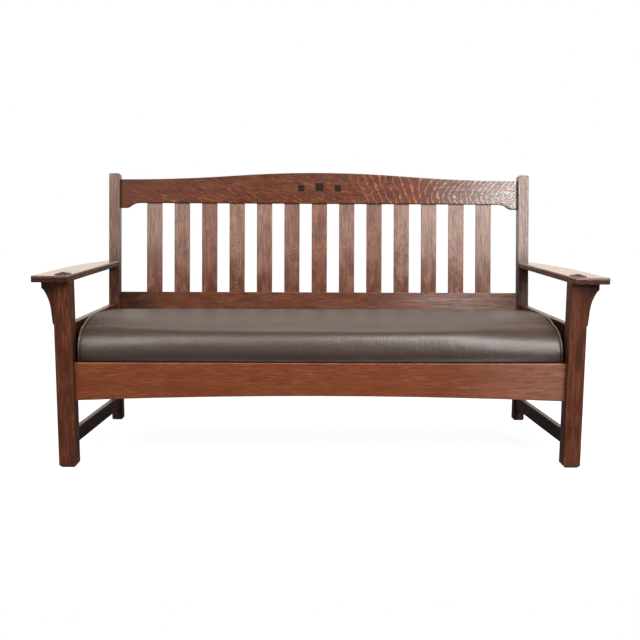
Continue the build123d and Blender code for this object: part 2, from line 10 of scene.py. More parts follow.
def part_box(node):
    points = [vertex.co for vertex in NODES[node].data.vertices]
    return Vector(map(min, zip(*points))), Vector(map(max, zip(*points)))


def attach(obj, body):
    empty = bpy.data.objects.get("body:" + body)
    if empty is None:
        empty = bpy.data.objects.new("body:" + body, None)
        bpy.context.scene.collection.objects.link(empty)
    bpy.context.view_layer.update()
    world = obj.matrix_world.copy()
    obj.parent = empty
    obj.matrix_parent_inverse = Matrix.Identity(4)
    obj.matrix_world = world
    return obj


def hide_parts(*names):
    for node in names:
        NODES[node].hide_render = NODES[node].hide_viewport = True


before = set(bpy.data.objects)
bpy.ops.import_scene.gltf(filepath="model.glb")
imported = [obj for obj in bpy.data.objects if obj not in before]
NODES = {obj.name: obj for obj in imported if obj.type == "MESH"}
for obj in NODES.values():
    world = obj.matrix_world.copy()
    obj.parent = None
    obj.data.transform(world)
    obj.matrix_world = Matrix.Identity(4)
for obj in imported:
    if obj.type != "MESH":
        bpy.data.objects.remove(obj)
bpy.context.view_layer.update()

bl_info = {
    "name": "Oak settle with a leather seat",
    "version": (1, 0, 0),
    "blender": (4, 5, 0),
    "location": "View3D > Sidebar > Settle",
    "description": "Finishes the settle's oak, builds its leather cushion and sets up the studio",
    "category": "Object",
}

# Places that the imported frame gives, in metres
POST_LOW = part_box("right_back_post")[0]
SEAT_LOW, SEAT_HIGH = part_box("seat_cushion")
ARM_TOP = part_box("left_arm")[1].z
SLATS = sorted(name for name in NODES if name.startswith("back_slat"))

# Places that the part's source gives: half the seat's width at its back, the knee above which
# the back leans, and the height of the crest's lower edge, measured along the lean
SEAT_BACK_HALF = 0.778
RAKE = radians(7.72)
KNEE_Y, KNEE_Z = POST_LOW.y, 0.467
CREST_FOOT = KNEE_Z + 0.396

BLACK, WHITE = (0.0, 0.0, 0.0), (1.0, 1.0, 1.0)

# Settings that many shader nodes share
TIMES, PLUS, MINUS = {"operation": "MULTIPLY"}, {"operation": "ADD"}, {"operation": "SUBTRACT"}
TIMES_PLUS, LARGER = {"operation": "MULTIPLY_ADD"}, {"operation": "MAXIMUM"}
ABSOLUTE, DOT = {"operation": "ABSOLUTE"}, {"operation": "DOT_PRODUCT"}
SMOOTH, BLEND = {"interpolation_type": "SMOOTHSTEP"}, {"data_type": "RGBA"}

# A seed moves a board's figure, and each noise and ripple on it, by multiples of these
BOARD_STEP, NOISE_STEP, RIPPLE_STEP = (1.37, 0.61, 0.83), (1.7, 2.3, 3.1), 6.1


def linear(code):
    """Linear colour of an sRGB hex code."""
    parts = [int(code[i:i + 2], 16) / 255 for i in (1, 3, 5)]
    return tuple(p / 12.92 if p <= 0.04045 else ((p + 0.055) / 1.055) ** 2.4 for p in parts)


def colour(name, description, code):
    return bpy.props.FloatVectorProperty(
        name=name, description=description, subtype="COLOR", size=3, min=0, max=1,
        default=linear(code))


def length(name, description, metres):
    return bpy.props.FloatProperty(
        name=name, description=description, unit="LENGTH", min=0, default=metres)


def share(name, description, value):
    return bpy.props.FloatProperty(
        name=name, description=description, subtype="FACTOR", min=0, max=1, default=value)


def power(name, description, watts):
    return bpy.props.FloatProperty(
        name=name, description=description, unit="POWER", min=0, default=watts)


class SettleOak(bpy.types.PropertyGroup):
    """Colours and figure of the fumed oak."""
    ground: colour("Ground", "Colour of the fumed oak between its streaks", "#5c2d19")
    amber: colour("Amber", "Colour of the warmest boards, such as the front rail", "#8c4725")
    pale: colour("Pale board", "Colour of the paler boards, such as the slats", "#a67e6c")
    pore: colour("Pores", "Colour of the open pores", "#1f0f0a")
    fleck: colour("Ray fleck", "Colour of the medullary rays", "#b3623c")
    silver: colour("Silver fleck", "Colour of the palest rays", "#c6b3a9")
    worn: colour("Worn arris", "Colour of the rubbed edges", "#b58467")
    wax: share("Wax roughness", "Roughness of the waxed face", 0.30)
    streak_width: length("Streak width", "Width of a growth streak", 0.014)
    pore_width: length("Pore width", "Width of a pore line", 0.0011)
    arris: length("Worn width", "Width of the rubbed edge", 0.003)


class SettleLeather(bpy.types.PropertyGroup):
    """Colours and seams of the leather seat."""
    hide: colour("Hide", "Colour of the leather", "#4b3a32")
    crease: colour("Crease", "Colour in the folds of the leather", "#251a13")
    rubbed_and_lit: colour("Rubbed", "Colour where the leather is worn on the crown", "#6f5849")
    welt: length("Welt", "Diameter of the piping", 0.007)
    grain: length("Grain", "Size of the leather's pebbles", 0.0022)
    slack: length("Slack", "How far the padding may push the leather", 0.005)


class SettleStudio(bpy.types.PropertyGroup):
    """Lamps, floor and what reflections see."""
    sky: share("Sky", "Brightness of the light from all around", 0.18)
    room: share("Room", "Brightness that reflections see in front of the settle and above", 0.12)
    key: power("Key lamp", "Power of the large lamp at the front left", 116)
    side: power("Side lamp", "Power of the tall lamp at the front right", 58)
    top: power("Overhead lamp", "Power of the wide lamp above the seat's front", 66)
    back: power("Back lamp", "Power of the weak lamp behind the settle", 38)
    shade: share("Floor shade", "Share of the floor's white that gloss sees near the settle", 0.05)
    floor: length("Floor", "Width of the floor", 24)
    paper: colour("Paper", "Colour of the paper sweep", "#a0a0a0")
    warm: colour("Warm sweep", "Colour of the sweep behind, as reflections see it", "#fff8ea")
    glow: share("Paper glow", "Brightness that the sweep shows beside its lit part", 0.93)


def node(tree, kind, *values, out=None, **settings):
    """Adds a shader node with its settings, sets or links its inputs, and gives one output.

    Values go to the inputs in use, in their order, and a dict goes to inputs by their names.
    """
    made = tree.nodes.new("ShaderNode" + kind)
    for key, value in settings.items():
        setattr(made, key, value)
    if values and isinstance(values[0], dict):
        pairs = [(made.inputs[key], value) for key, value in values[0].items()]
    else:
        pairs = zip([socket for socket in made.inputs if socket.enabled], values)
    for socket, value in pairs:
        if isinstance(value, bpy.types.NodeSocket):
            tree.links.new(value, socket)
        else:
            socket.default_value = (*value, 1) if socket.type == "RGBA" else value
    return made.outputs[out] if out else next((s for s in made.outputs if s.enabled), None)


def new_material(name):
    """An empty material, and the function that adds nodes to it."""
    material = bpy.data.materials.new(name)
    material.use_nodes = True
    material.node_tree.nodes.clear()
    return material, partial(node, material.node_tree)


def finish(material, add, inputs):
    """Wires the surface; constant values stay on the shader's own sockets."""
    add("OutputMaterial", add("BsdfPrincipled", inputs))
    return material


def between(a, b, amount):
    """Colour at a share of the way from one to another."""
    return tuple(p + (q - p) * amount for p, q in zip(a, b))


def stain(add, base, tint, mask, amount):
    """Lays a colour over a base where a mask shows, up to an amount."""
    return add("Mix", add("Math", mask, amount, **TIMES), base, tint, **BLEND)


def mottle(add, place, sizes, detail=3.0, roughness=0.5, shift=0.0):
    """Noise whose patches have these sizes in metres along the three axes."""
    scaled = add("Mapping", {"Vector": place, "Scale": [1 / size for size in sizes],
                             "Location": [shift * step for step in NOISE_STEP]})
    return add("TexNoise", {"Vector": scaled, "Scale": 1, "Detail": detail,
                            "Roughness": roughness})


def patches(add, place, sizes, low, high, *noise):
    """Mask of a noise's patches, which show fully above its high level and not below its low."""
    return add("MapRange", mottle(add, place, sizes, *noise), low, high, **SMOOTH)


def bands(add, place, spacing, wander, wander_size, shift=0.0):
    """Ripples across the X axis of a place, a spacing apart, that wander by so many turns."""
    scale = 2 * pi / 20 / spacing
    return add("TexWave", {"Vector": place, "Scale": scale, "Distortion": wander * 2 * pi,
                           "Detail": 2, "Detail Scale": 1 / wander_size / scale,
                           "Phase Offset": shift * RIPPLE_STEP},
               wave_type="BANDS", bands_direction="X", wave_profile="SIN", out="Fac")


def board_place(add, order, leaning, seed):
    """Places on one board in metres: along its grain, across its face, and both as a vector."""
    place = add("TexCoord", out="Object")
    if leaning:
        place = add("VectorRotate", {"Vector": place, "Center": (0, KNEE_Y, KNEE_Z),
                                     "Angle": RAKE}, rotation_type="X_AXIS")
    split = add("SeparateXYZ", place).node.outputs
    ways = [split["XYZ".index(letter)] for letter in order]
    board = add("Mapping", {"Vector": add("CombineXYZ", *ways),
                            "Location": [seed * step for step in BOARD_STEP]})
    return (*ways[:2], board)


def quarter_figure(add, board, spacing, tilt, seed):
    """Ray fleck of a quarter-sawn face: short wavy ribbons that cross the grain."""
    turned = add("VectorRotate", {"Vector": board, "Angle": tilt}, rotation_type="Z_AXIS")
    ribbons = add("MapRange", bands(add, turned, spacing, 0.9, 0.03, seed), 0.45, 0.95, **SMOOTH)
    broken = patches(add, board, (0.022, 0.014, 0.02), 0.38, 0.56, 2, 0.5, seed)
    areas = patches(add, board, (0.10, 0.05, 0.05), 0.34, 0.56, 2, 0.5, seed + 3)
    return add("Math", add("Math", ribbons, broken, **TIMES), areas, **TIMES)


def rift_figure(add, board, seed):
    """Short pale streaks that lie along the grain of a rift-sawn face."""
    streaks = patches(add, board, (0.05, 0.0035, 0.02), 0.46, 0.70, 3, 0.6, seed)
    areas = patches(add, board, (0.2, 0.05, 0.05), 0.30, 0.62, 2, 0.5, seed + 5)
    return add("Math", streaks, areas, **TIMES)


# Layout of the crest board's figure in metres: the height above its lower edge about which the
# bows bend, the ends of the stretch over which the lean turns into bows, the middle of the
# rings and the two radii between which they fade out
BOW_AXIS, BOWS_START, RING_MIDDLE, RING_FADE = 0.034, (0.30, 0.52), 0.742, (0.075, 0.035)
# Sideways bend of the bows above their axis and below it, lean of the lines at the left, and
# how much closer the bows come towards the right
BOW_POWER, BOW_ABOVE, BOW_BELOW, LEAN, CROWDING = 1.4, 2.4, 9.0, -0.45, 0.6


def crest_figure(add, along, across, board):
    """Figure of the crest: long slanting streaks at the left, bows and rings at the right."""
    height = add("Math", across, CREST_FOOT + BOW_AXIS, **MINUS)
    above = add("Math", height, 0.0, **LARGER)
    below = add("Math", height, 0.0, operation="MINIMUM")
    above = add("Math", add("Math", above, BOW_POWER, operation="POWER"), BOW_ABOVE, **TIMES)
    below = add("Math", add("Math", below, below, **TIMES), BOW_BELOW, **TIMES)
    bow = add("Math", above, below, **PLUS)
    # Left of the bows the same lines lean the other way
    bowed = add("MapRange", along, *BOWS_START, **SMOOTH)
    lean = add("Math", add("Math", height, LEAN, **TIMES), add("Math", 1.0, bowed, **MINUS),
               **TIMES)
    bend = add("Math", add("Math", bow, bowed, **TIMES), lean, **PLUS)
    bent = add("Math", along, bend, **MINUS)
    # The bows come closer together towards the right end
    crowding = add("Math", add("Math", bent, bent, **TIMES), CROWDING, **TIMES)
    place = add("CombineXYZ", add("Math", bent, crowding, **PLUS), across, 0.0)
    bold = add("MapRange", bands(add, place, 0.036, 0.60, 0.03, 1), 0.88, 0.99, **SMOOTH)
    fine = add("MapRange", bands(add, place, 0.017, 0.65, 0.016, 4), 0.82, 0.98, **SMOOTH)
    fine = add("Math", fine, add("MapRange", along, 0.24, 0.70, **SMOOTH), **TIMES)
    bows = add("Math", bold, add("Math", fine, 0.6, **TIMES), **LARGER)
    # Rings close round a middle near the right end
    offset = add("Math", along, RING_MIDDLE, **MINUS)
    tall = add("Math", height, 1.5, **TIMES)
    radius = add("Math", add("Math", add("Math", offset, offset, **TIMES),
                             add("Math", tall, tall, **TIMES), **PLUS), operation="SQRT")
    rings = bands(add, add("CombineXYZ", radius, across, 0.0), 0.012, 1.0, 0.010, 2)
    rings = add("MapRange", rings, 0.62, 0.92, **SMOOTH)
    turning = add("MapRange", radius, *RING_FADE, **SMOOTH)
    bows = add("Math", add("Math", bows, add("Math", 1.0, turning, **MINUS), **TIMES),
               add("Math", rings, turning, **TIMES), **PLUS)
    worn = patches(add, board, (0.016, 0.008, 0.02), 0.36, 0.54, 3, 0.65, 2)
    bows = add("Math", bows, worn, **TIMES)
    bows = add("Math", bows, add("MapRange", along, 0.08, 0.24, **SMOOTH), **TIMES)
    # The streaks keep to the board's lower half and end before the bows
    slant = add("VectorRotate", {"Vector": board, "Angle": 0.36}, rotation_type="Z_AXIS")
    streaks = patches(add, slant, (0.050, 0.0036, 0.02), 0.55, 0.68, 3, 0.6, 3)
    areas = patches(add, board, (0.10, 0.03, 0.05), 0.38, 0.60, 2, 0.5, 5)
    low = add("MapRange", across, CREST_FOOT + 0.10, CREST_FOOT + 0.02, **SMOOTH)
    low = add("Math", add("Math", low, 0.6, **TIMES), 0.25, **PLUS)
    streaks = add("Math", streaks, low, **TIMES)
    streaks = add("Math", streaks, add("Math", areas, 0.75, 0.25, **TIMES_PLUS), **TIMES)
    streaks = add("Math", streaks, add("MapRange", along, 0.26, 0.08, **SMOOTH), **TIMES)
    return add("Math", bows, streaks, **LARGER)


def fumed_oak(name, order, seed, figure="quarter", leaning=False, strength=0.5,
              spacing=0.009, tilt=0.0, depth=0.5, warmth=0.0, pale=0.0, blush=0.3, gloss=0.0,
              wear_and_glint=0.3, grey=0.0, shade_and_dark_span=None, shade_and_dark_depth=0.0, joints=(), painted_sheen=None, painted_face_shade=None,
              specular=0.5, end_round=1.0):
    """White oak, quarter-sawn, darkened with ammonia fumes, shellacked and waxed.

    It gives the eye brown streaks along the grain, dark open pores, and paler, slightly
    glossier rays across it. The order names the axes along the grain, across the face and into
    the board. Strength, spacing and tilt are the rays'; depth is how dark the streaks are;
    warmth, pale, grey and blush colour the ground, and on some boards pale and grey carry
    painted sheen. The edges are lightened, as wear and on some boards as painted highlight;
    faces that look a given way can be darkened with painted shade, and one end lightened with
    painted sheen. Places of the darker span, of the joints and of the painted sheen are metres
    along the grain.
    """
    oak = bpy.context.scene.settle_oak
    material, add = new_material(name)
    along, across, board = board_place(add, order, leaning, seed)
    darker_ground = between(oak.ground, oak.amber, warmth)
    ground = between(between(darker_ground, oak.pale, pale), oak.silver, grey)
    shade = between(ground, BLACK, 0.6)
    streaks = mottle(add, board, (0.45, oak.streak_width, oak.streak_width), 4, 0.6, seed)
    # Growth rings are 1 to 2 mm apart; their lines are drawn 5 mm apart so that they show
    rings = patches(add, board, (0.10, 0.005, 0.005), 0.46, 0.60, 2, 0.6, seed + 7)
    # Real pores are 0.3 mm wide; they are drawn about four times as wide so that they show
    grain = mottle(add, board, (0.05, oak.pore_width * 2, oak.pore_width * 2), 3, 0.6, seed + 1)
    pores = patches(add, board, (0.022, oak.pore_width, oak.pore_width), 0.60, 0.74,
                    1, 0.4, seed + 2)
    clouds = mottle(add, board, (0.07, 0.03, 0.03), 3, 0.6, seed + 4)
    dark = add("MapRange", streaks, 0.35, 0.68, **SMOOTH)
    if figure == "crest":
        fleck = crest_figure(add, along, across, board)
        # The rays go from orange to silver towards the right end, partly their own colour and
        # partly painted sheen, and near that end whiter with painted highlight
        bright = add("Mix", add("MapRange", along, 0.34, 0.64, **SMOOTH), oak.fleck, oak.silver,
                     **BLEND)
        bright = stain(add, bright, WHITE, add("MapRange", along, 0.56, 0.80, **SMOOTH), 0.5)
        # The board darkens towards its upper edge, which follows the ogee
        rise = add("MapRange", add("Math", along, **ABSOLUTE), 0.62, 0.05, **SMOOTH)
        rise = add("Math", rise, 0.036, **TIMES)
        edge_gap = add("Math", add("Math", rise, CREST_FOOT + 0.082, **PLUS), across, **MINUS)
        dark = add("Math", dark, add("MapRange", edge_gap, 0.034, 0.004, **SMOOTH), **LARGER)
    elif figure == "rift":
        fleck = rift_figure(add, board, seed)
        bright = between(oak.fleck, oak.silver, 0.15 + 0.8 * pale)
    else:
        fleck = quarter_figure(add, board, spacing, tilt, seed)
        bright = between(oak.fleck, oak.silver, 0.6 * pale)
    if painted_sheen:
        # Painted sheen: this end is greyed and lightened where the lamps' reflection falls on it
        start, end, amount = painted_sheen
        ground = stain(add, ground, oak.silver, add("MapRange", along, start, end, **SMOOTH),
                       amount)
    if shade_and_dark_span:
        # One stretch of the board is darker: painted shadow of the arms on the back posts below
        # them and on the lower back rail's left end; on the slats, darker towards the bottom; on
        # the front posts, the tenon's own near-black top
        undarkened_part = add("MapRange", along, *shade_and_dark_span, **SMOOTH)
        ground = add("Mix", undarkened_part, between(darker_ground, BLACK, shade_and_dark_depth), ground, **BLEND)
        shade = add("Mix", undarkened_part, between(darker_ground, BLACK, 0.6), shade, **BLEND)
        fleck = add("Math", fleck, add("Math", add("Math", undarkened_part, 0.7, **TIMES), 0.3,
                                       **PLUS), **TIMES)
    base = stain(add, ground, shade, dark, depth)
    base = stain(add, base, between(oak.amber, between(oak.fleck, oak.silver, 0.35), pale),
                 add("MapRange", clouds, 0.46, 0.62, **SMOOTH), blush)
    base = stain(add, base, shade, add("MapRange", clouds, 0.48, 0.34, **SMOOTH), depth * 0.5)
    base = stain(add, base, shade, rings, depth * 0.8)
    base = stain(add, base, shade, add("MapRange", grain, 0.42, 0.62, **SMOOTH),
                 0.35 + 0.3 * depth)
    base = stain(add, base, oak.pore, pores, 0.55)
    base = stain(add, base, bright, fleck, strength)
    # Painted shade: the board is darker where it meets its neighbours, in the joints
    for place in joints:
        gap = add("Math", add("Math", along, place, **MINUS), **ABSOLUTE)
        base = stain(add, base, oak.pore, add("MapRange", gap, 0.008, 0.002, **SMOOTH), 0.75)
    # End grain drinks more of the finish and goes darker
    flat = add("NewGeometry", out="Normal")
    lengthways = {"X": (1, 0, 0), "Y": (0, 1, 0), "Z": (0, 0, 1)}[order[0]]
    if leaning and order[0] == "Z":
        lengthways = (0, sin(RAKE), cos(RAKE))
    ending = add("Math", add("VectorMath", flat, lengthways, **DOT), **ABSOLUTE)
    end_grain = add("MapRange", ending, 0.5, 0.95, **SMOOTH)
    base = stain(add, base, shade, end_grain, 0.8)
    if painted_face_shade:
        # Painted shade: faces that look in the direction, or with an amount below nothing all the
        # others, are darkened as if the light didn't reach them
        direction, amount = painted_face_shade
        levels = (0.5, 0.9) if amount > 0 else (0.9, 0.5)
        shaded_faces = add("MapRange", add("VectorMath", flat, direction, **DOT), *levels, **SMOOTH)
        base = stain(add, base, oak.pore, shaded_faces, abs(amount))
    # Lighter edges, where a rounded normal leaves the flat one: wear, and on some boards painted
    # highlight; some boards' ends are rounder
    radius = add("Math", ending, oak.arris * (end_round - 1), oak.arris, **TIMES_PLUS)
    rounded = add("Bevel", {"Radius": radius}, samples=4)
    edge = add("MapRange", add("VectorMath", rounded, flat, **DOT), 0.985, 0.90, **SMOOTH)
    edge = add("Math", edge, patches(add, board, (0.05, 0.02, 0.02), 0.4, 0.62, 3, 0.6,
                                     seed + 6), **TIMES)
    base = stain(add, base, oak.worn, edge, wear_and_glint)
    rough = add("Math", oak.wax - gloss, add("Math", pores, 0.2, **TIMES), **PLUS)
    rough = add("Math", rough, add("Math", clouds, 0.06, **TIMES), **PLUS)
    rough = add("Math", rough, add("Math", end_grain, 0.3 - 1.5 * gloss, **TIMES), **PLUS)
    rough = add("Math", rough, add("Math", fleck, 0.06, **TIMES), **MINUS)
    pits = add("Math", add("Math", pores, 0.8, **TIMES), add("Math", grain, 0.5, **TIMES), **PLUS)
    relief = add("Math", add("Math", fleck, 0.2, **TIMES), pits, **MINUS)
    normal = add("Bump", {"Height": relief, "Normal": rounded, "Strength": 0.35,
                          "Distance": 0.0006})
    return finish(material, add, {"Base Color": base, "Roughness": rough, "Normal": normal,
                                  "IOR": 1.5, "Specular IOR Level": specular})


def ebonised_oak():
    """Oak blackened with iron and vinegar: a flat brown black whose pores still show."""
    material, add = new_material("Ebonised oak end grain")
    place = add("TexCoord", out="Object")
    grain = mottle(add, place, (0.0015, 0.0015, 0.0015), 3, 0.6)
    cloud = mottle(add, place, (0.02, 0.02, 0.02), 2)
    base = add("Mix", add("MapRange", grain, 0.4, 0.7, **SMOOTH), linear("#2e2015"),
               linear("#1c130d"), **BLEND)
    base = stain(add, base, linear("#40291a"), cloud, 0.4)
    normal = add("Bump", {"Height": grain, "Strength": 0.3, "Distance": 0.0003})
    return finish(material, add, {
        "Base Color": base, "Roughness": bpy.context.scene.settle_oak.wax, "Normal": normal,
        "IOR": 1.5, "Specular IOR Level": 0.15})


def sawn_oak(name, order, seed):
    """Unfinished oak straight from the saw: pale, dull, with the saw's fine lines across it."""
    material, add = new_material(name)
    board = board_place(add, order, False, seed)[2]
    streaks = mottle(add, board, (0.3, 0.012, 0.012), 4, 0.6, seed)
    saw = bands(add, board, 0.0025, 0.15, 0.03, seed)
    pores = patches(add, board, (0.02, 0.0012, 0.0012), 0.58, 0.72, 2, 0.5, seed)
    base = add("Mix", add("MapRange", streaks, 0.3, 0.7, **SMOOTH), linear("#8a6840"),
               linear("#6e4f2e"), **BLEND)
    base = stain(add, base, linear("#3d2a18"), pores, 0.5)
    height = add("Math", add("Math", saw, 0.5, **TIMES), streaks, **PLUS)
    normal = add("Bump", {"Height": height, "Strength": 0.4, "Distance": 0.0004})
    rough = add("Math", add("Math", streaks, 0.1, **TIMES), 0.68, **PLUS)
    return finish(material, add, {"Base Color": base, "Roughness": rough, "Normal": normal,
                                  "IOR": 1.5})


def black_cambric():
    """Plain-woven cotton dust cloth, glazed black: a dull cloth whose weave just shows."""
    material, add = new_material("Black glazed cambric")
    place = add("TexCoord", out="Object")
    split = add("SeparateXYZ", place).node.outputs
    # Threads are 0.6 mm apart; they are drawn 2 mm apart so that they show
    warp = bands(add, place, 0.002, 0.05, 0.02)
    weft = bands(add, add("CombineXYZ", split[1], split[0], split[2]), 0.002, 0.05, 0.02)
    weave = add("Math", warp, weft, **TIMES)
    cloud = mottle(add, place, (0.12, 0.12, 0.12))
    base = add("Mix", weave, linear("#0f0f10"), linear("#242326"), **BLEND)
    base = stain(add, base, linear("#2c2a29"), cloud, 0.3)
    normal = add("Bump", {"Height": weave, "Strength": 0.4, "Distance": 0.0004})
    rough = add("Math", add("Math", cloud, 0.1, **TIMES), 0.78, **PLUS)
    return finish(material, add, {"Base Color": base, "Roughness": rough, "Normal": normal,
                                  "IOR": 1.45})


def aniline_leather(name, pebble_strength, puckers, upper_highlight=0.0):
    """Full-grain cowhide, drum-dyed and lightly glazed: dark, soft, with a broad sheen.

    Its pebbles are about a millimetre across; they are drawn twice that so that they show.
    """
    leather = bpy.context.scene.settle_leather
    material, add = new_material(name)
    place = add("TexCoord", out="Object")
    cells = add("TexVoronoi", {"Vector": place, "Scale": 1 / leather.grain, "Randomness": 1},
                feature="SMOOTH_F1")
    pulls = mottle(add, place, (0.010, 0.07, 0.07), 3, 0.6, 1)
    folds = mottle(add, place, (0.09, 0.06, 0.06), 3, 0.55, 2)
    clouds = mottle(add, place, (0.16, 0.10, 0.10), 3, 0.6, 3)
    up = add("SeparateXYZ", add("NewGeometry", out="Normal"), out="Z")
    crown = add("MapRange", up, 0.86, 0.985, **SMOOTH)
    base = stain(add, leather.hide, leather.crease,
                 add("MapRange", cells, 0.25, 0.75, **SMOOTH), 0.35)
    # The crown is lighter in clouds, rubbed and with painted light from above; a welt is lighter
    # along its upper side with painted highlight
    clouded = add("Math", add("MapRange", clouds, 0.36, 0.66, **SMOOTH), 0.20, 0.07,
                  **TIMES_PLUS)
    rubbed_and_lit = add("Math", crown, clouded, **TIMES)
    painted_upper_highlight = add("Math", add("MapRange", up, 0.0, 0.6, **SMOOTH), upper_highlight, **TIMES)
    base = add("Mix", add("Math", rubbed_and_lit, painted_upper_highlight, **LARGER), base, leather.rubbed_and_lit, **BLEND)
    # Painted shade: the leather darkens towards its foot
    low = add("MapRange", add("SeparateXYZ", place, out="Z"), SEAT_LOW.z + 0.050, SEAT_LOW.z,
              **SMOOTH)
    base = stain(add, base, leather.crease, low, 0.9)
    height = add("Math", add("Math", pulls, puckers, **TIMES), add("Math", folds, 1.2, **TIMES),
                 **PLUS)
    wide = add("Bump", {"Height": height, "Strength": 0.5, "Distance": 0.004})
    fine = add("Bump", {"Height": add("Math", 1.0, cells, **MINUS), "Normal": wide,
                        "Strength": pebble_strength, "Distance": 0.0004})
    # The worn crown has lost some of its glaze
    rough = add("Math", add("Math", clouds, 0.14, **TIMES),
                add("Math", crown, 0.16, 0.31, **TIMES_PLUS), **PLUS)
    return finish(material, add, {"Base Color": base, "Roughness": rough, "Normal": fine,
                                  "IOR": 1.5, "Specular IOR Level": 0.70})


def give(name, material):
    """Gives a CAD piece its material."""
    slots = NODES[name].data.materials
    slots.clear()
    slots.append(material)


# Each side, the seed of its boards, and the direction of the settle's inside from it
SIDES = (("left", 1, (1, 0, 0)), ("right", 2, (-1, 0, 0)))
# The back posts' paler, greyer upper parts are painted sheen and their darker lower parts
# painted shadow of the arms, both strongest at the right; the right arm is paler, with more
# lightened edges, as painted highlight
BACK_POST_LOOKS = {
    "left": {"depth": 0.75, "pale": 0.4, "blush": 0.30, "grey": 0.20, "shade_and_dark_depth": 0.15},
    "right": {"depth": 0.90, "pale": 0.6, "blush": 0.15, "grey": 0.44, "shade_and_dark_depth": 0.65}}
UPWARDS = (0, 0, 1)
# The arms' faces other than their tops are darkened with painted shade
ARM_LOOKS = {
    "left": {"pale": 0.3, "wear_and_glint": 0.35, "painted_face_shade": (UPWARDS, -0.72)},
    "right": {"pale": 0.5, "wear_and_glint": 0.60, "painted_face_shade": (UPWARDS, -0.60)}}


class SETTLE_OT_posts(bpy.types.Operator):
    """Finishes the posts, corbels and arms"""
    bl_idname = "settle.posts"
    bl_label = "Posts, corbels and arms"

    def execute(self, context):
        for side, seed, inner in SIDES:
            # The tenon that comes up through the arm is nearly black with wax; the post's inner
            # faces are darkened with painted shade
            give(f"{side}_front_post", fumed_oak(
                f"Fumed oak, {side} front post", "ZXY", seed, "rift", strength=0.3, depth=0.7,
                warmth=0.12, shade_and_dark_span=(ARM_TOP + 0.001, ARM_TOP), shade_and_dark_depth=0.9, painted_face_shade=(inner, 0.5)))
            # The back posts carry painted shadow of the arms below them, painted sheen on their
            # upper parts and painted shade on their inner faces
            give(f"{side}_back_post", fumed_oak(
                f"Fumed oak, {side} back post", "ZXY", seed + 2.5, "rift", leaning=True,
                strength=0.8, shade_and_dark_span=(0.60, 0.68), painted_face_shade=(inner, 0.5), **BACK_POST_LOOKS[side]))
            give(f"{side}_corbel", fumed_oak(
                f"Fumed oak, {side} corbel", "ZXY", seed + 4.5, "rift", strength=0.2, depth=0.55))
            give(f"{side}_arm", fumed_oak(
                f"Fumed oak, {side} arm", "YXZ", seed + 6.5, "quarter", strength=0.45,
                spacing=0.013, tilt=0.2, depth=0.4, warmth=0.6, gloss=0.2, end_round=3.3,
                **ARM_LOOKS[side]))
        return {"FINISHED"}


class SETTLE_OT_rails(bpy.types.Operator):
    """Finishes the seat rails, side rails and stretchers"""
    bl_idname = "settle.rails"
    bl_label = "Seat rails and stretchers"

    def execute(self, context):
        # The front rail's right end is lightened with painted sheen, and its arrises as wear and
        # painted highlight
        give("front_seat_rail", fumed_oak(
            "Fumed oak, front seat rail", "XZY", 11, "rift", strength=0.35, depth=0.3,
            warmth=0.85, wear_and_glint=0.9, painted_sheen=(0.35, 0.75, 0.2)))
        give("back_seat_rail", fumed_oak(
            "Fumed oak, back seat rail", "XZY", 12, "rift", strength=0.3, depth=0.5))
        for side, seed, inner in SIDES:
            # The inner faces of the side rails and stretchers are darkened with painted shade
            give(f"{side}_side_rail", fumed_oak(
                f"Fumed oak, {side} side rail", "YZX", seed + 12, "quarter", strength=0.5,
                spacing=0.014, tilt=0.3, warmth=0.3, wear_and_glint=0.6, painted_face_shade=(inner, 0.7)))
            give(f"{side}_side_stretcher", fumed_oak(
                f"Fumed oak, {side} stretcher", "YZX", seed + 14.5, "rift", strength=0.3,
                depth=0.7, wear_and_glint=0.5, painted_face_shade=(inner, 0.5), specular=0.25))
        return {"FINISHED"}


# Figure of each slat from the left, its strength, its spacing in metres and its tilt in
# radians, and how pale and how grey the slat is; the grey of the slats at the right stands
# in part for painted sheen
SLAT_COLUMNS = ("figure", "strength", "spacing", "tilt", "pale", "grey")
SLAT_LOOKS = (
    ("rift", 0.4, 0.010, 0.0, 1.0, 0.16), ("quarter", 0.5, 0.010, 1.1, 0.95, 0.06),
    ("quarter", 0.5, 0.009, 0.1, 0.65, 0.0), ("quarter", 0.8, 0.009, 0.5, 0.85, 0.03),
    ("rift", 0.4, 0.010, 0.0, 0.9, 0.0), ("quarter", 0.5, 0.011, -0.4, 0.7, 0.0),
    ("quarter", 0.8, 0.007, 0.45, 0.5, 0.0), ("quarter", 0.7, 0.008, -0.5, 0.85, 0.0),
    ("quarter", 0.6, 0.009, 0.3, 0.6, 0.05), ("quarter", 0.8, 0.007, 0.05, 0.9, 0.08),
    ("rift", 0.5, 0.010, 0.0, 1.0, 0.18), ("quarter", 0.8, 0.009, -0.7, 1.0, 0.22),
    ("rift", 0.4, 0.010, 0.0, 1.0, 0.30))


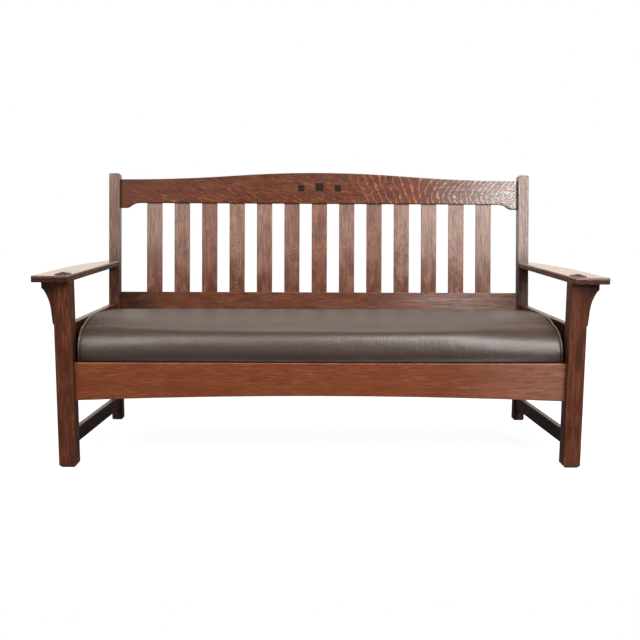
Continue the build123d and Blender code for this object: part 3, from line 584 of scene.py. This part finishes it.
class SETTLE_OT_back(bpy.types.Operator):
    """Finishes the crest, the lower back rail and the slats"""
    bl_idname = "settle.back"
    bl_label = "Slatted back"

    def execute(self, context):
        # The crest's right end is greyed with painted sheen, and its ends darkened with painted
        # shade in the joints
        give("crest_rail", fumed_oak(
            "Fumed oak, crest rail", "XZY", 21, "crest", leaning=True, strength=1.0, depth=0.5,
            warmth=0.3, gloss=0.09, joints=(-POST_LOW.x, POST_LOW.x),
            painted_sheen=(0.36, 0.76, 0.50)))
        # The lower back rail's left end is darkened with painted shadow of the arm and post, and
        # its right end lightened with painted sheen
        give("lower_back_rail", fumed_oak(
            "Fumed oak, lower back rail", "XZY", 22, "rift", leaning=True, strength=0.3,
            depth=0.5, warmth=0.3, shade_and_dark_span=(-0.72, -0.54), shade_and_dark_depth=0.85,
            painted_sheen=(0.20, 0.50, 0.46)))
        for index, (name, looks) in enumerate(zip(SLATS, SLAT_LOOKS)):
            # The slats darken towards the bottom, and under the crest with painted shade in the
            # joint
            give(name, fumed_oak(
                f"Fumed oak, back slat {index + 1}", "ZXY", 23 + index * 1.3, leaning=True,
                depth=0.65, warmth=0.4, blush=0.4, wear_and_glint=0.1, shade_and_dark_span=(0.50, 0.78),
                joints=(CREST_FOOT,), **dict(zip(SLAT_COLUMNS, looks))))
        return {"FINISHED"}


class SETTLE_OT_inlays(bpy.types.Operator):
    """Finishes the three square inlays"""
    bl_idname = "settle.inlays"
    bl_label = "Inlays"

    def execute(self, context):
        material = ebonised_oak()
        for place in ("left", "centre", "right"):
            give(f"{place}_crest_inlay", material)
        return {"FINISHED"}


class SETTLE_OT_seat_frame(bpy.types.Operator):
    """Finishes the cleats, the seat frame and the dust cloth"""
    bl_idname = "settle.seat_frame"
    bl_label = "Seat frame"

    def execute(self, context):
        long_way = sawn_oak("Sawn oak along the seat", "XZY", 1)
        deep_way = sawn_oak("Sawn oak across the seat", "YZX", 2)
        for name in ("front_seat_cleat", "back_seat_cleat", "front_seat_frame_rail",
                     "back_seat_frame_rail"):
            give(name, long_way)
        for name in ("left_seat_cleat", "right_seat_cleat", "left_seat_frame_rail",
                     "right_seat_frame_rail", "seat_brace_1", "seat_brace_2", "seat_brace_3"):
            give(name, deep_way)
        give("seat_dust_cover", black_cambric())
        return {"FINISHED"}


# Shape of the cushion's section in metres: height of its flat front face, depth of the roll
# above it, heights of the top at the roll, the crown and the back, and radius of the back edge
FACE, ROLL, FRONT_TOP, CROWN, BACK_TOP, BACK_ROUND = 0.024, 0.046, 0.106, 0.122, 0.101, 0.014
# The padding stands fuller at the two ends, where the welts hold the leather up; the right
# end, more sat on, rolls over more gently than the left
END_ROLL, END_TOP, END_CROWN, END_BACK = (0.074, 0.105), 0.112, 0.1295, 0.101
# The crown of an end lies this share of the way from the roll to the back
END_PEAK = 0.18
# The ends' shape comes in from this share of the way to the end, over this share
PUFF_START, PUFF_SPAN = 0.5, 0.42
# The front is pulled in by this much at the ends, mostly close to them
SIDE_PULL, PULL_POWER = 0.006, 4
# Straight steps in which the curve of the top is drawn
TOP_STEPS = 40
# Quads along, across and up the cushion, and how far its mesh lies inside before it swells
COLUMNS, ROWS, LAYERS, INSET = 150, 64, 10, 0.004


def sample(points, count):
    """Points at even steps along a broken line."""
    steps = [(b - a).length for a, b in zip(points, points[1:])]
    total, out, index, done = sum(steps), [], 0, 0.0
    for k in range(count + 1):
        goal = total * k / count
        while index < len(steps) - 1 and done + steps[index] < goal:
            done += steps[index]
            index += 1
        out.append(points[index].lerp(points[index + 1], min(1, (goal - done) / steps[index])))
    return out


def cushion_sides(x, inset):
    """Front, top and back of the section at x, as broken lines of (0, y, z)."""
    part = abs(x) / SEAT_HIGH.x
    puff = min(1, max(0, (part - PUFF_START) / PUFF_SPAN))
    puff *= puff * (3 - 2 * puff)
    front = SEAT_LOW.y + SIDE_PULL * part ** PULL_POWER + inset
    back, foot = SEAT_HIGH.y, SEAT_LOW.z
    depth = ROLL + (END_ROLL[x > 0] - ROLL) * puff

    def height(v):
        """Height of the top at a share of the way from the roll to the back."""
        middle = (FRONT_TOP * (1 - v) * (1 - 2 * v) + CROWN * 4 * v * (1 - v)
                  + BACK_TOP * v * (2 * v - 1))
        if v < END_PEAK:
            end = END_CROWN - (END_CROWN - END_TOP) * (1 - v / END_PEAK) ** 2
        else:
            end = END_CROWN - (END_CROWN - END_BACK) * ((v - END_PEAK) / (1 - END_PEAK)) ** 1.6
        return foot - inset + middle + (end - middle) * puff

    top, rear, face = height(0), height(1), foot + FACE
    roll = [Vector((0, front + depth * (1 - cos(t)), face + (top - face) * sin(t)))
            for t in (radians(a) for a in range(0, 91, 5))]
    near, far = front + depth, back - BACK_ROUND
    crown_line = [Vector((0, near + (far - near) * k / TOP_STEPS, height(k / TOP_STEPS)))
                  for k in range(1, TOP_STEPS)]
    turn = [Vector((0, far + BACK_ROUND * sin(t), rear - BACK_ROUND * (1 - cos(t))))
            for t in (radians(a) for a in range(0, 91, 15))]
    # The mesh's front and back edges run along the middles of the roll and the turn
    return ([Vector((0, front, foot))] + roll[:10], roll[9:] + crown_line + turn[:4],
            [Vector((0, back, foot))] + turn[:2:-1])


def cushion_shell():
    """Closed quad mesh of the cushion, and the numbers of its vertices by their grid places."""
    verts, index = [], {}
    for i in range(COLUMNS + 1):
        x = (2 * i / COLUMNS - 1) * SEAT_HIGH.x
        front, top, back = cushion_sides(x, INSET)
        front, top, back = sample(front, LAYERS), sample(top, ROWS), sample(back, LAYERS)
        foot = sample([front[0], back[0]], ROWS)
        for j in range(ROWS + 1):
            for k in range(LAYERS + 1):
                if not (i in (0, COLUMNS) or j in (0, ROWS) or k in (0, LAYERS)):
                    continue
                v, w = j / ROWS, k / LAYERS
                p = (foot[j] * (1 - w) + top[j] * w + front[k] * (1 - v) + back[k] * v
                     - foot[0] * (1 - v) * (1 - w) - foot[-1] * v * (1 - w)
                     - top[0] * (1 - v) * w - top[-1] * v * w)
                depth = (p.y - SEAT_LOW.y) / (SEAT_HIGH.y - SEAT_LOW.y)
                half = SEAT_HIGH.x + (SEAT_BACK_HALF - SEAT_HIGH.x) * depth - INSET
                index[i, j, k] = len(verts)
                verts.append((x / SEAT_HIGH.x * half, p.y, p.z))
    faces = []
    counts = (COLUMNS, ROWS, LAYERS)
    # Two sides across each axis: foot and top, front and back, left and right
    for across, one, other, near_flips in ((2, 0, 1, True), (1, 0, 2, False), (0, 1, 2, True)):
        for side, flip in ((0, near_flips), (counts[across], not near_flips)):
            for a in range(counts[one]):
                for b in range(counts[other]):
                    corners = []
                    for step_a, step_b in ((0, 0), (1, 0), (1, 1), (0, 1)):
                        place = [side] * 3
                        place[one], place[other] = a + step_a, b + step_b
                        corners.append(index[tuple(place)])
                    faces.append(corners[::-1] if flip else corners)
    return verts, faces, index


# Frames that the padding has to settle, rounds in which its movement is evened out, and the
# least movement that counts, in metres
SWELL_FRAMES, EVENING_ROUNDS, SMALLEST_MOVE = 20, 14, 1e-7


def swell(piece, held, cap):
    """Lets cloth under pressure fill the leather, then keeps its movement below a cap."""
    before = [v.co.copy() for v in piece.data.vertices]
    group = piece.vertex_groups.new(name="seams")
    group.add(held, 1, "REPLACE")
    cloth = piece.modifiers.new("Padding", "CLOTH")
    settings = cloth.settings
    settings.quality = 6
    settings.mass = 0.4
    settings.tension_stiffness = settings.compression_stiffness = 40
    settings.shear_stiffness = 20
    settings.bending_stiffness = 4
    settings.use_pressure = True
    settings.uniform_pressure_force = 4
    settings.shrink_min = -0.006
    settings.vertex_group_mass = "seams"
    settings.effector_weights.gravity = 0
    cloth.collision_settings.use_collision = False
    scene = bpy.context.scene
    cloth.point_cache.frame_start, cloth.point_cache.frame_end = 1, SWELL_FRAMES
    for number in range(1, SWELL_FRAMES + 1):
        scene.frame_set(number)
    shown = piece.evaluated_get(bpy.context.evaluated_depsgraph_get())
    after = [v.co.copy() for v in shown.data.vertices]
    piece.modifiers.remove(cloth)
    # The leather is stiff: each point's movement is evened out with its neighbours'
    moves = [new - old for new, old in zip(after, before)]
    beside = [[] for _ in moves]
    for edge in piece.data.edges:
        one, other = edge.vertices
        beside[one].append(other)
        beside[other].append(one)
    fixed = set(held)
    for _ in range(EVENING_ROUNDS):
        moves = [move if n in fixed else sum((moves[m] for m in beside[n]), move)
                 / (len(beside[n]) + 1) for n, move in enumerate(moves)]
    for vertex, old, move in zip(piece.data.vertices, before, moves):
        if move.length > SMALLEST_MOVE:
            vertex.co = old + move * (cap * tanh(move.length / cap) / move.length)
    scene.frame_set(1)


def tube(name, points, radius):
    """Round cord along a line of points, as a mesh."""
    curve = bpy.data.curves.new(name, "CURVE")
    curve.dimensions = "3D"
    curve.bevel_depth, curve.bevel_resolution, curve.use_fill_caps = radius, 3, True
    spline = curve.splines.new("NURBS")
    spline.points.add(len(points) - 1)
    for point, co in zip(spline.points, points):
        point.co = (*co, 1)
    spline.order_u, spline.use_endpoint_u, spline.resolution_u = 4, True, 2
    carrier = bpy.data.objects.new(name, curve)
    bpy.context.scene.collection.objects.link(carrier)
    made = bpy.data.meshes.new_from_object(
        carrier.evaluated_get(bpy.context.evaluated_depsgraph_get()))
    bpy.data.objects.remove(carrier)
    piece = bpy.data.objects.new(name, made)
    bpy.context.scene.collection.objects.link(piece)
    for polygon in made.polygons:
        polygon.use_smooth = True
    return piece


# How far a welt's middle stands above the leather's seam and outside it, and how far from the
# seat's middle its path turns down
WELT_LIFT, WELT_STAND, WELT_CORNER = 0.001, 0.0015, 0.26


class SETTLE_OT_cushion(bpy.types.Operator):
    """Builds the leather cushion with its welted ends"""
    bl_idname = "settle.cushion"
    bl_label = "Leather cushion"

    def execute(self, context):
        leather = context.scene.settle_leather
        verts, faces, index = cushion_shell()
        mesh = bpy.data.meshes.new("Leather cushion")
        mesh.from_pydata(verts, [], faces)
        mesh.update()
        cushion = bpy.data.objects.new("leather_cushion", mesh)
        context.scene.collection.objects.link(cushion)
        seams = {end: ([index[end, 0, k] for k in range(LAYERS + 1)]
                       + [index[end, j, LAYERS] for j in range(1, ROWS + 1)]
                       + [index[end, ROWS, k] for k in range(LAYERS - 1, -1, -1)])
                 for end in (0, COLUMNS)}
        foot = [n for (i, j, k), n in index.items() if k == 0]
        swell(cushion, sorted(set(foot + seams[0] + seams[COLUMNS])), leather.slack)
        for polygon in mesh.polygons:
            polygon.use_smooth = True
        mesh.materials.append(aniline_leather("Glazed cowhide", 0.10, 0.4))
        soften = cushion.modifiers.new("Soften", "SUBSURF")
        soften.levels = soften.render_levels = 1
        # The piping's upper side is lighter with painted highlight
        piping = aniline_leather("Glazed cowhide piping", 0.1, 0.2, 0.9)
        middle = Vector((0, (SEAT_LOW.y + SEAT_HIGH.y) / 2, SEAT_LOW.z + FACE))
        for end, name, side in ((0, "left", -1), (COLUMNS, "right", 1)):
            path = []
            for n in seams[end]:
                co = mesh.vertices[n].co.copy()
                # Away from the seat's middle, and straight up along the top
                out = Vector((0, co.y - middle.y, co.z - middle.z))
                out.y *= abs(out.y) > WELT_CORNER
                path.append(co + out.normalized() * WELT_LIFT
                            + Vector((side * WELT_STAND, 0, 0)))
            welt = tube(f"{name}_welt", path, leather.welt / 2)
            welt.data.materials.append(piping)
            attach(welt, "seat")
        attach(cushion, "seat")
        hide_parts("seat_cushion")
        return {"FINISHED"}


# Each lamp's place and size in metres, and the value that holds its power
LAMPS = (("Key", (-2.1, -2.9, 3.5), (3.0, 2.0), "key"),
         ("Side", (1.8, -3.05, 2.2), (0.8, 1.9), "side"),
         ("Overhead", (1.1, -1.8, 2.9), (1.8, 1.1), "top"),
         ("Back", (0, 2.8, 3.0), (3.0, 2.0), "back"))
LAMP_TARGET = Vector((0, 0, 0.5))
# Front edge of the paper, and how far it lies under the feet
PAPER_FRONT, PAPER_DROP = -1.3, 0.0006
# The camera, fitted to the photograph: its place in metres, its yaw, pitch and roll in
# radians, its focal length, its upward shift and the picture's width in pixels, and the
# film's width in millimetres
CAMERA_PLACE, CAMERA_TURN = (-0.0402, -3.1491, 0.8782), (0.0128, 0.1424, 0.0052)
FOCAL_PIXELS, SHIFT_PIXELS, PICTURE_PIXELS, FILM = 880, 4.1, 640, 36
# Brightness of the white sweep behind the settle, as reflections see it
SWEEP_WHITE = 1.12


class SETTLE_OT_stage(bpy.types.Operator):
    """Sets up the paper sweep, the lamps and the camera"""
    bl_idname = "settle.stage"
    bl_label = "Studio"

    def execute(self, context):
        scene, studio = context.scene, context.scene.settle_studio
        half = studio.floor / 2
        mesh = bpy.data.meshes.new("Paper sweep")
        mesh.from_pydata([(-half, PAPER_FRONT, 0), (half, PAPER_FRONT, 0), (half, half, 0),
                          (-half, half, 0)], [], [(0, 1, 2, 3)])
        floor = bpy.data.objects.new("paper_sweep", mesh)
        floor.location.z = -PAPER_DROP
        scene.collection.objects.link(floor)
        mesh.materials.append(self.paper(studio))
        self.world(scene, studio)
        for name, place, size, watts in LAMPS:
            lamp = bpy.data.lights.new(name, "AREA")
            lamp.shape, lamp.size, lamp.size_y = "RECTANGLE", *size
            lamp.energy = getattr(studio, watts)
            carrier = bpy.data.objects.new(name, lamp)
            carrier.location = place
            aim = LAMP_TARGET - Vector(place)
            carrier.rotation_euler = aim.to_track_quat("-Z", "Y").to_euler()
            scene.collection.objects.link(carrier)
        self.camera(scene)
        scene.view_settings.view_transform = "Standard"
        return {"FINISHED"}

    def paper(self, studio):
        """White background paper: it shows white itself, and keeps the settle's shadow."""
        material, add = new_material("White background paper")
        ray = add("LightPath").node.outputs
        # Gloss sees the paper round the settle in the settle's own shade
        shaded = add("Math", ray["Is Glossy Ray"], studio.shade, **TIMES)
        seen = add("Math", shaded, ray["Is Transmission Ray"], **LARGER)
        seen = add("Math", ray["Is Camera Ray"], seen, **LARGER)
        tint = add("Mix", ray["Is Glossy Ray"], studio.paper, between(studio.paper, BLACK, 0.8),
                   **BLEND)
        glow = add("Emission", {"Strength": add("Math", seen, studio.glow, **TIMES)})
        add("OutputMaterial", add("AddShader", add("BsdfDiffuse", {"Color": tint}), glow))
        return material

    def world(self, scene, studio):
        """White all round to the eye, white behind in reflections, and a plain level as light."""
        scene.world = bpy.data.worlds.new("Studio")
        scene.world.use_nodes = True
        scene.world.node_tree.nodes.clear()
        add = partial(node, scene.world.node_tree)
        ray = add("LightPath").node.outputs
        mirrored = add("Math", ray["Is Glossy Ray"], ray["Is Transmission Ray"], **LARGER)
        # The white sweep rises behind the settle; the room in front of it and above is dim
        way = add("SeparateXYZ", add("TexCoord", out="Generated")).node.outputs
        behind = add("Math", add("MapRange", way["Y"], 0.0, 0.3, **SMOOTH),
                     add("MapRange", way["Z"], 0.75, 0.45, **SMOOTH), **TIMES)
        sweep = add("Math", behind, SWEEP_WHITE - studio.room, **TIMES)
        reflected = add("Math", mirrored, add("Math", studio.room, sweep, **PLUS), **TIMES)
        white = add("Math", ray["Is Camera Ray"], reflected, **LARGER)
        other = add("Math", ray["Is Camera Ray"], mirrored, **LARGER)
        light = add("Math", add("Math", 1.0, other, **MINUS), studio.sky, **TIMES)
        tint = add("Mix", mirrored, WHITE, studio.warm, **BLEND)
        add("OutputWorld", add("Background", {
            "Color": tint, "Strength": add("Math", white, light, **PLUS)}))

    def camera(self, scene):
        """The photograph's own view: from a low standing height, a little left of the middle."""
        data = bpy.data.cameras.new("Front view")
        data.sensor_width, data.lens = FILM, FOCAL_PIXELS / PICTURE_PIXELS * FILM
        data.shift_y = SHIFT_PIXELS / PICTURE_PIXELS
        camera = bpy.data.objects.new("Front view", data)
        yaw, pitch, roll = CAMERA_TURN
        right = Vector((cos(yaw), -sin(yaw), 0))
        level = Vector((sin(yaw), cos(yaw), 0))
        ahead = level * cos(pitch) - Vector((0, 0, sin(pitch)))
        above = Vector((0, 0, cos(pitch))) + level * sin(pitch)
        x_axis = right * cos(roll) + above * sin(roll)
        y_axis = above * cos(roll) - right * sin(roll)
        turn = Matrix((x_axis, y_axis, -ahead)).transposed().to_4x4()
        camera.matrix_world = Matrix.Translation(CAMERA_PLACE) @ turn
        scene.collection.objects.link(camera)
        scene.camera = camera


class SETTLE_PT_panel(bpy.types.Panel):
    """Lists the settle's pieces and their values"""
    bl_idname = "SETTLE_PT_panel"
    bl_label = "Oak settle"
    bl_space_type = "VIEW_3D"
    bl_region_type = "UI"
    bl_category = "Settle"

    def draw(self, context):
        for operator in OPERATORS:
            self.layout.operator(operator.bl_idname)
        for holder in (context.scene.settle_oak, context.scene.settle_leather,
                       context.scene.settle_studio):
            box = self.layout.box()
            for key in type(holder).__annotations__:
                box.prop(holder, key)


GROUPS = {"settle_oak": SettleOak, "settle_leather": SettleLeather, "settle_studio": SettleStudio}
OPERATORS = (SETTLE_OT_posts, SETTLE_OT_rails, SETTLE_OT_back, SETTLE_OT_inlays,
             SETTLE_OT_seat_frame, SETTLE_OT_cushion, SETTLE_OT_stage)


def register():
    for cls in (*GROUPS.values(), *OPERATORS, SETTLE_PT_panel):
        bpy.utils.register_class(cls)
    for name, cls in GROUPS.items():
        setattr(bpy.types.Scene, name, bpy.props.PointerProperty(type=cls))


def unregister():
    for name in GROUPS:
        delattr(bpy.types.Scene, name)
    for cls in (SETTLE_PT_panel, *reversed(OPERATORS), *GROUPS.values()):
        bpy.utils.unregister_class(cls)


def main():
    register()
    bpy.ops.settle.posts()
    bpy.ops.settle.rails()
    bpy.ops.settle.back()
    bpy.ops.settle.inlays()
    bpy.ops.settle.seat_frame()
    bpy.ops.settle.cushion()
    bpy.ops.settle.stage()


if __name__ == "__main__":
    main()
